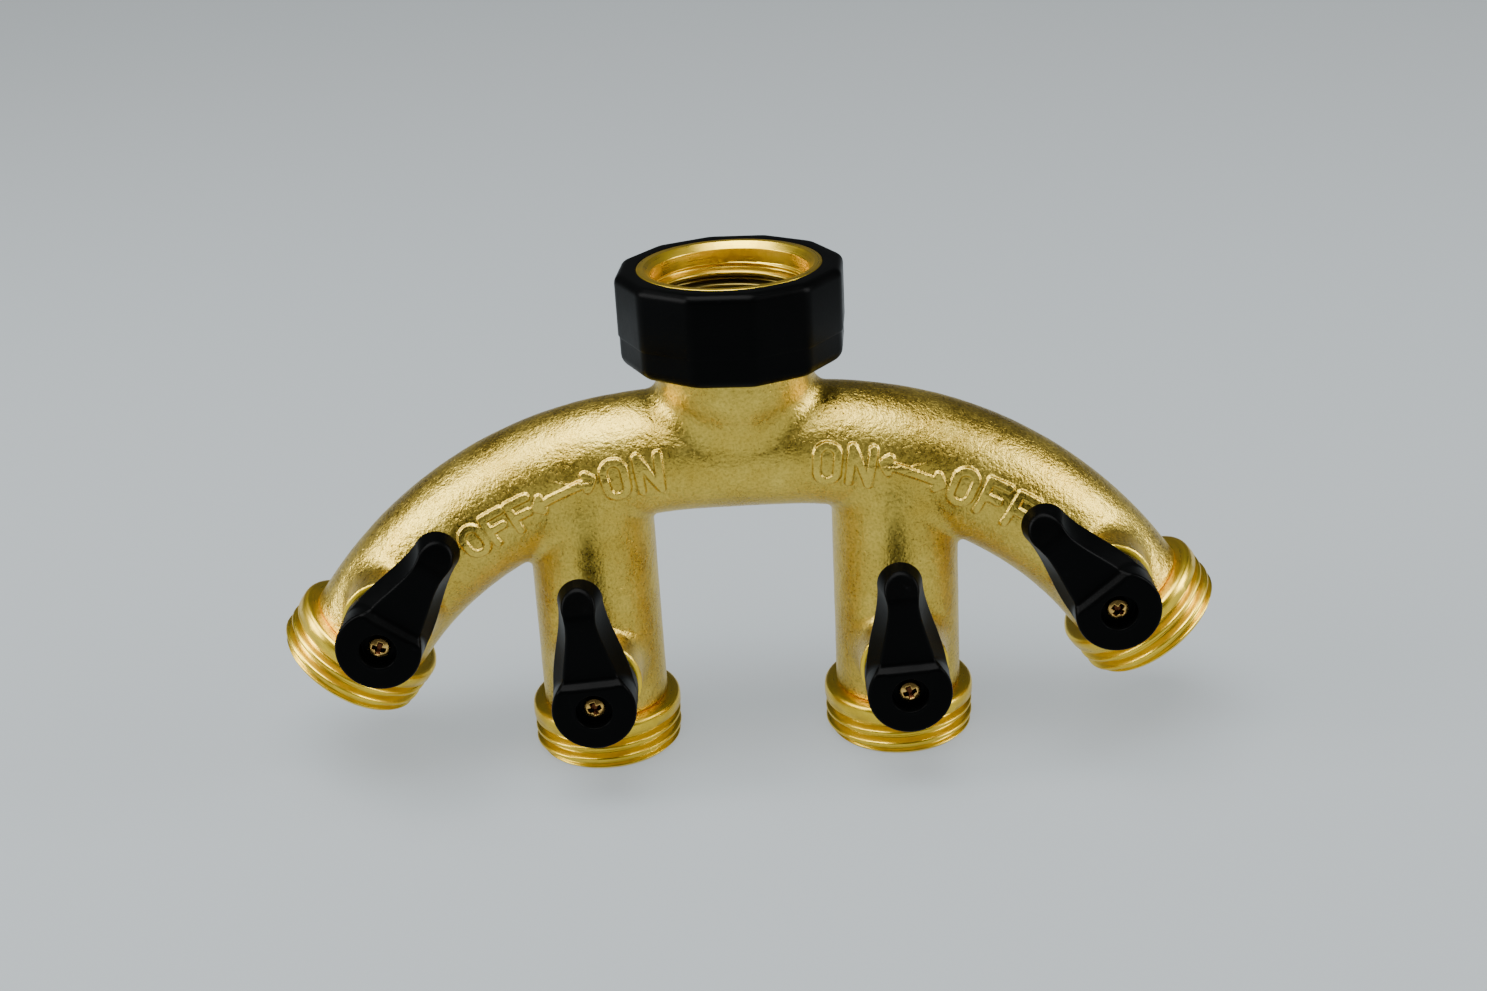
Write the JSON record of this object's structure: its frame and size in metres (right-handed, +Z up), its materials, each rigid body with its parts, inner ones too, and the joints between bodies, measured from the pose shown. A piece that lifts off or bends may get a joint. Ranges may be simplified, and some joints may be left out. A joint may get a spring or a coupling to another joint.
{
  "type": "garden hose splitter",
  "caption": "Brass garden hose splitter: swivel inlet nut over a curved cast manifold, threaded outlets below, each with its own quarter-turn ball valve and black lever.",
  "frame": {"origin": "centre of the inlet washer's upper face, where a tap's threaded end seats, on the inlet axis", "axes": "+Z up along the inlet axis, +X along the arch to the right as seen from the handles' side, handles face -Y"},
  "size_m": [0.1662, 0.0458, 0.0884],
  "materials": {
    "cast_brass": "matte blasted casting",
    "machined_brass": "bright machined",
    "black_plastic": "satin moulded",
    "screw_plating": "bright plated",
    "rubber": "matte",
    "seat_plastic": "waxy",
    "ball_plating": "polished",
    "spring_steel": "plain"
  },
  "bodies": {
    "manifold": {"manifold_casting": "cast_brass", "nut_retaining_ring": "spring_steel", "left_outer_outlet": "machined_brass", "left_outer_upper_seat": "seat_plastic", "left_outer_lower_seat": "seat_plastic", "left_inner_outlet": "machined_brass", "left_inner_upper_seat": "seat_plastic", "left_inner_lower_seat": "seat_plastic", "right_inner_outlet": "machined_brass", "right_inner_upper_seat": "seat_plastic", "right_inner_lower_seat": "seat_plastic", "right_outer_outlet": "machined_brass", "right_outer_upper_seat": "seat_plastic", "right_outer_lower_seat": "seat_plastic"},
    "inlet_nut": {"inlet_nut_ring": "machined_brass", "inlet_nut_grip": "black_plastic", "inlet_washer": "rubber"},
    "left_outer_valve": {"left_outer_handle": "black_plastic", "left_outer_handle_screw": "screw_plating", "left_outer_stem": "machined_brass", "left_outer_lower_stem_seal": "rubber", "left_outer_upper_stem_seal": "rubber", "left_outer_thrust_washer": "seat_plastic", "left_outer_ball": "ball_plating"},
    "left_inner_valve": {"left_inner_handle": "black_plastic", "left_inner_handle_screw": "screw_plating", "left_inner_stem": "machined_brass", "left_inner_lower_stem_seal": "rubber", "left_inner_upper_stem_seal": "rubber", "left_inner_thrust_washer": "seat_plastic", "left_inner_ball": "ball_plating"},
    "right_inner_valve": {"right_inner_handle": "black_plastic", "right_inner_handle_screw": "screw_plating", "right_inner_stem": "machined_brass", "right_inner_lower_stem_seal": "rubber", "right_inner_upper_stem_seal": "rubber", "right_inner_thrust_washer": "seat_plastic", "right_inner_ball": "ball_plating"},
    "right_outer_valve": {"right_outer_handle": "black_plastic", "right_outer_handle_screw": "screw_plating", "right_outer_stem": "machined_brass", "right_outer_lower_stem_seal": "rubber", "right_outer_upper_stem_seal": "rubber", "right_outer_thrust_washer": "seat_plastic", "right_outer_ball": "ball_plating"}
  },
  "joints": [
    {"name": "inlet_nut_swivel", "type": "hinge", "parent": "manifold", "child": "inlet_nut", "pos_m": [0, 0, 0], "axis": [0, 0, 1], "continuous": true},
    {"name": "left_outer_valve_turn", "type": "hinge", "parent": "manifold", "child": "left_outer_valve", "pos_m": [-0.06157, 0, -0.04722], "axis": [0, -1, 0], "range_deg": [-9.3, 90.7]},
    {"name": "left_inner_valve_turn", "type": "hinge", "parent": "manifold", "child": "left_inner_valve", "pos_m": [-0.0267, 0, -0.0607], "axis": [0, -1, 0], "range_deg": [-11.6, 88.4]},
    {"name": "right_inner_valve_turn", "type": "hinge", "parent": "manifold", "child": "right_inner_valve", "pos_m": [0.0267, 0, -0.0607], "axis": [0, 1, 0], "range_deg": [-4.9, 95.1]},
    {"name": "right_outer_valve_turn", "type": "hinge", "parent": "manifold", "child": "right_outer_valve", "pos_m": [0.06157, 0, -0.04722], "axis": [0, 1, 0], "range_deg": [-5.6, 94.4]}
  ]
}
